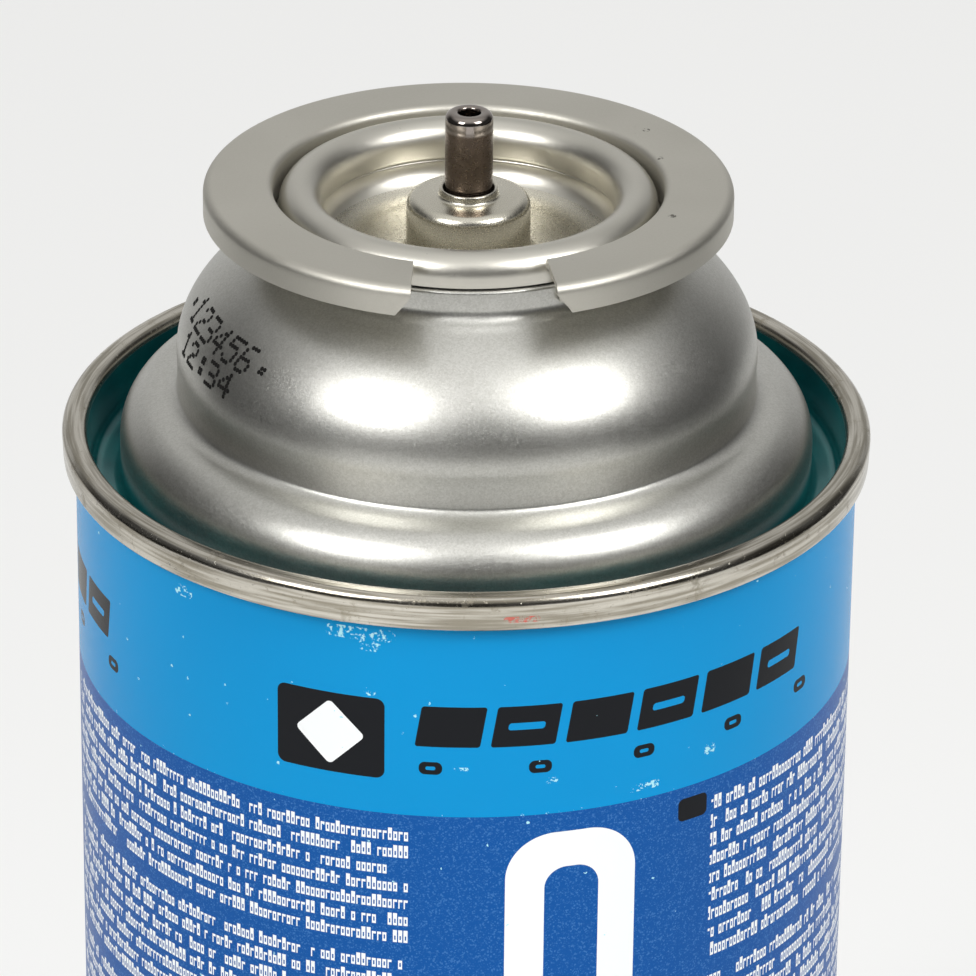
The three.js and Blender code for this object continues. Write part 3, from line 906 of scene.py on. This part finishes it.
SMEAR = (0.073 * SEAM_RADIUS, -1.85)
smear = ends.spot(ends.bearing * SEAM_RADIUS, ends.rise, SMEAR, (1.5, 0.28), 0.26)
smear = smear * (ends.radius > BODY_RADIUS) * pits.ramp(0.4, 0.6)
colour = ends.mix(smear * 0.75, colour, ink(206, 66, 52))
print(f"the lacquer lies between {LACQUER_INNER} and {LACQUER_OUTER:.1f} mm from the axis")

# %% Gloss and relief of the ends
satin_rough = 0.29 + grit * 0.1 + soft * 0.05
seam_rough = 0.13 + rolled * 0.14 + stain * 0.2
rough = satin_rough + on_seam * (seam_rough - satin_rough)
rough = rough + teal * (0.3 - rough)
ends.set(Base_Color=colour, Roughness=rough, Metallic=1 - teal * 0.55 - smear * 0.8, Coat_Weight=teal * 0.3)
satin_height = grit * 0.6 + fine * 0.4
seam_height = rolled * 1.2 + pits.ramp(0.62, 0.72) * -2.0
relief = satin_height * (1 - on_seam) * (1 - teal * 0.8) + seam_height * on_seam
ends.bump(relief, 0.005)
dress(upper_end, ["can"], ends.material)
dress(lower_end, ["can"], ends.material)

# %% [markdown]
# ## Collar, cup and stem
#
# The collar is duller and warmer than the dome, with a few nicks in its inner edge. The cup is the
# brightest piece. The stem is smoky nickel, glittering on its side and polished at the tip, where
# a stove's valve has rubbed it.

# %% Finish of the collar
satin = Finish("satin_tin", {"Metallic": 1.0})
grit = satin.grain(0.09)
soft = satin.noise(12.0, 2.0)
scratches = satin.noise(1.3, 5.0, roughness=0.8).ramp(0.66, 0.7)
NICKS = [(15.69, 10.48, 0.35), (16.37, 4.43, 0.3), (16.33, -7.68, 0.35), (-5.2, -16.6, 0.25)]
nicks = []
for nick_x, nick_y, size in NICKS:
    nicks.append(satin.spot(satin.x, satin.y, (nick_x, nick_y), (size, size), size * 0.98))
nicks = any_of(nicks) * satin.noise(0.3, 3.0).ramp(0.42, 0.56)
colour = satin.mix(soft, ink(191, 188, 178), ink(205, 202, 193))
colour = satin.mix(nicks * 0.8 + scratches * 0.12, colour, ink(70, 66, 58))
satin.set(Base_Color=colour, Roughness=0.4 + grit * 0.1 + soft * 0.06)
satin.bump(grit * 0.7 + satin.noise(0.14, 2.0) * 0.5 - nicks * 3.0 - scratches * 0.8, 0.0045)
dress(collar, ["locating_collar"], satin.material)

# %% Finish of the cup
bright = Finish("cup_tin", {"Metallic": 1.0})
grit = bright.grain(0.08)
soft = bright.noise(7.0, 2.0)
inside = bright.radius < CUP_WALL - 0.4
scratches = bright.noise(0.9, 5.0, roughness=0.85).ramp(0.68, 0.71)
pulled = bright.streaks(40.0, 0.25)
colour = bright.mix(soft, ink(196, 193, 183), ink(210, 207, 198))
colour = bright.mix(inside * 0.5, colour, ink(214, 208, 190))
colour = bright.mix(scratches * 0.4, colour, ink(80, 76, 66))
bright.set(Base_Color=colour, Roughness=0.32 + grit * 0.1 - inside * 0.1 + scratches * 0.1)
bright.bump(grit * 0.35 + bright.noise(0.14, 2.0) * 0.4 + pulled * inside * 0.3 - scratches * 0.8, 0.0022)
dress(mounting_cup, ["mounting_cup"], bright.material)

# %% Finish of the stem
smoky = Finish("smoky_nickel", {"Metallic": 1.0})
grit = smoky.grain(0.11)
soft = smoky.noise(2.5, 3.0)
POLISHED = 1.5
polished = smoky.z.ramp(STEM_TIP - POLISHED - 0.15, STEM_TIP - POLISHED + 0.15)
colour = smoky.mix(soft, ink(92, 80, 71), ink(130, 117, 106))
colour = smoky.mix(polished, colour, ink(150, 142, 136))
smoky.set(Base_Color=colour, Roughness=0.26 + grit * 0.1 - polished * 0.2)
smoky.bump((grit + soft * 0.4) * (1 - polished), 0.0055)
dress(stem, ["valve_stem"], smoky.material, body="stem")

# %% [markdown]
# ## The printed code on the dome
#
# An ink-jet has printed two lines of plain digits on the dome: tiny dots on a grid of five by
# seven. Each dot is a thin disc that stands about a hundredth of a millimetre proud, because
# it is a drop of ink on the metal and its edge catches the light. A line follows the dome round.

# %% Place the dots
DIGITS = {
    "1": "00100 01100 00100 00100 00100 00100 01110",
    "2": "01110 10001 00001 00110 01000 10000 11111",
    "3": "11110 00001 00001 01110 00001 00001 11110",
    "4": "00010 00110 01010 10010 11111 00010 00010",
    "5": "11111 10000 11110 00001 00001 10001 01110",
    "6": "01110 10000 10000 11110 10001 10001 01110",
    ":": "00000 00110 00110 00000 00110 00110 00000",
    ".": "00000 00000 00000 00110 00110 00000 00000",
}
DOT_RADIUS = 0.2
DOT_HEIGHT = 0.03
DOT_PITCH = 0.36
ROW_PITCH = DOT_PITCH * 0.84
FIGURE_COLUMNS = 6
LINES = [(".123456.", -91.0, 12.35), ("12:34", -82.0, 9.95)]


def dome_at(height):
    """Radius of the dome and its outward lean at a height above the upper rim."""
    share = (height - WAIST_RISE) / DOME_CROWN
    lean = math.atan2(share / DOME_CROWN, math.sqrt(1 - share * share) / WAIST_RADIUS)
    return WAIST_RADIUS * math.sqrt(1 - share * share), lean


dots = []
for figures, start, top in LINES:
    for place, figure in enumerate(figures):
        for row_index, pattern in enumerate(DIGITS[figure].split()):
            height = top - row_index * ROW_PITCH
            dome_radius, lean = dome_at(height)
            for column_index, dot in enumerate(pattern):
                if dot == "0":
                    continue
                run = (place * FIGURE_COLUMNS + column_index) * DOT_PITCH
                angle = math.radians(start) + run / dome_radius
                position = (dome_radius * math.sin(angle), -dome_radius * math.cos(angle), CAN_TOP + height)
                dots.append((position, lean, angle))
print(len(dots), "dots")

# %% Print the dots
bpy.ops.object.select_all(action="DESELECT")
drops = []
for position, lean, angle in dots:
    bpy.ops.mesh.primitive_cylinder_add(
        vertices=8,
        radius=DOT_RADIUS * MM,
        depth=DOT_HEIGHT * MM,
        location=[value * MM for value in position],
        rotation=(math.pi / 2 - lean, 0, angle),
    )
    drops.append(bpy.context.object)
for drop in drops:
    drop.select_set(True)
bpy.ops.object.join()
date_code = bpy.context.object
date_code.name = "date_code"
bpy.ops.object.transform_apply(location=True, rotation=True, scale=True)
scene.cursor.location = (0, 0, 0)
bpy.ops.object.origin_set(type="ORIGIN_CURSOR")

code_ink = Finish("code_ink", {"Roughness": 0.7, "Specular IOR Level": 0.15})
code_ink.set(Base_Color=code_ink.mix(code_ink.noise(0.4, 2.0), ink(10, 10, 10), ink(30, 29, 27)))
dress(date_code, [], code_ink.material)

# %% [markdown]
# ## Pieces hidden in the valve
#
# The gaskets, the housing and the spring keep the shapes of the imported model, because they can't be
# seen from outside. They still get real finishes, for the day someone opens the model up.

# %% Finishes of the hidden pieces
rubber = Finish("seal_rubber", {"Specular IOR Level": 0.3})
bloom = rubber.noise(0.8, 3.0)
rubber.set(Base_Color=rubber.mix(bloom, ink(24, 24, 25), ink(46, 46, 47)), Roughness=0.6 + bloom * 0.2)
rubber.bump(bloom, 0.02)
moulding = Finish("housing_moulding", {"Specular IOR Level": 0.4})
flow = moulding.noise(2.0, 2.0)
ivory = moulding.mix(flow, ink(226, 224, 216), ink(238, 236, 230))
moulding.set(Base_Color=ivory, Roughness=0.4 + flow * 0.1)
moulding.bump(flow, 0.01)
wire = Finish("spring_wire", {"Metallic": 1.0})
drawn = wire.noise(0.2, 3.0)
wire.set(Base_Color=wire.mix(drawn, ink(150, 150, 148), ink(200, 200, 198)), Roughness=0.25 + drawn * 0.15)
wire.bump(drawn, 0.004)
HIDDEN = {"cup_gasket": rubber, "stem_gasket": rubber, "valve_housing": moulding, "valve_spring": wire}
for name, finish in HIDDEN.items():
    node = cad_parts[name]
    node.data.materials.clear()
    node.data.materials.append(finish.material)
    print(name, "gets", finish.material.name)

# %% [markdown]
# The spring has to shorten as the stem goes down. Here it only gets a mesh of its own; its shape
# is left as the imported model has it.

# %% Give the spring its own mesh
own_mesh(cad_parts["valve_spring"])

# %% [markdown]
# ## Floor and light
#
# Two soft boxes stand left and right of the camera and a little above the can. Their reflections
# are the two bright patches on the dome. The room around is dim at the sides, brighter overhead and
# pale behind, as in a small studio. The camera sees it as one pale grey.

# %% Floor
FLOOR_RADIUS = 1.0
bpy.ops.object.select_all(action="DESELECT")
bpy.ops.mesh.primitive_circle_add(vertices=96, radius=FLOOR_RADIUS, fill_type="NGON", location=(0, 0, 0))
floor = bpy.context.object
floor.name = "floor"
paper = Finish("paper", {"Roughness": 0.7, "Specular IOR Level": 0.2, "Emission Strength": 1.0})
tone = paper.noise(160.0, 1.0)
paper.set(Base_Color=paper.mix(tone, ink(236, 236, 235), ink(239, 239, 238)))
seen = paper.node("ShaderNodeLightPath", output="Is Camera Ray")
far = paper.radius.ramp(100.0, 700.0)
lift = seen * (0.03 + far * 0.12)
paper.set(Emission_Color=paper.mix(lift, (0, 0, 0, 1), (1, 1, 1, 1)))
floor.data.materials.append(paper.material)
print("the floor is", 2 * FLOOR_RADIUS, "m wide")

# %% [markdown]
# Two dark cards stand left and right of the can, as a photographer puts them beside shiny metal.
# The camera doesn't see them, but the dome's flanks do, and that rounds them off.

# %% Dark cards
CARD_DISTANCE = 0.36
CARD_SIZE = (0.5, 0.15)
card_finish = Finish("card", {"Roughness": 0.8, "Specular IOR Level": 0.1})
card_finish.set(Base_Color=card_finish.mix(card_finish.noise(40.0), ink(40, 40, 40), ink(56, 56, 56)))
for side in (-1, 1):
    bpy.ops.object.select_all(action="DESELECT")
    middle = (side * CARD_DISTANCE, -0.02, CARD_SIZE[1] / 2 + 0.005)
    bpy.ops.mesh.primitive_plane_add(size=1, location=middle, rotation=(0, math.pi / 2, 0))
    card = bpy.context.object
    card.name = "card"
    card.scale = (CARD_SIZE[1], CARD_SIZE[0], 1)
    bpy.ops.object.transform_apply(location=True, rotation=True, scale=True)
    card.data.materials.append(card_finish.material)
    card.visible_camera = False
    card.visible_shadow = False
    card.visible_diffuse = False
    print("a card at", round(middle[0], 2), "m")

# %% Soft boxes
SOFT_BOXES = [(-45.5, 38.0, 0.5, 0.55, 7.8), (49.0, 43.0, 0.5, 0.56, 8.0)]
BOX_DISTANCE = 1.15
dome_middle = Vector((0, 0, (CAN_TOP + WAIST_RISE) * MM))
for side, height, width, tall_side, power in SOFT_BOXES:
    soft_box = bpy.data.lights.new("soft_box", "AREA")
    soft_box.shape = "RECTANGLE"
    soft_box.size = width
    soft_box.size_y = tall_side
    soft_box.energy = power
    box_stand = bpy.data.objects.new("soft_box", soft_box)
    scene.collection.objects.link(box_stand)
    angle, climb = math.radians(side), math.radians(height)
    away = Vector((math.sin(angle) * math.cos(climb), -math.cos(angle) * math.cos(climb), math.sin(climb)))
    box_stand.location = dome_middle + away * BOX_DISTANCE
    box_stand.rotation_euler = away.to_track_quat("Z", "Y").to_euler()
    print("a soft box of", power, "W at", side, "degrees")

# %% Room
ROOM_SIDE = 0.05
ROOM_TOP = 0.9
ROOM_BACK = 0.62
PALE = 0.78
room = bpy.data.worlds.new("room")
scene.world = room
room.use_nodes = True
tree = room.node_tree
background = tree.nodes["Background"]
direction = tree.nodes.new("ShaderNodeTexCoord")
axes = tree.nodes.new("ShaderNodeSeparateXYZ")
tree.links.new(direction.outputs["Generated"], axes.inputs[0])
back = Field(tree, axes.outputs[1])
up = Field(tree, axes.outputs[2])
glow = ROOM_SIDE + up.ramp(0.45, 1.0) * (ROOM_TOP - ROOM_SIDE) + back.ramp(0.5, 1.0) * ROOM_BACK
paths = tree.nodes.new("ShaderNodeLightPath")
seen = Field(tree, paths.outputs["Is Camera Ray"])
level = glow + seen * (PALE - glow)
tree.links.new(level.socket, background.inputs["Strength"])
background.inputs["Color"].default_value = (1.0, 1.0, 0.99, 1.0)
print("the camera sees the room at", PALE)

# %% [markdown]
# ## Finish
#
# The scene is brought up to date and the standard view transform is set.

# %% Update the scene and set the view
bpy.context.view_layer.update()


scene.view_settings.view_transform = "Standard"
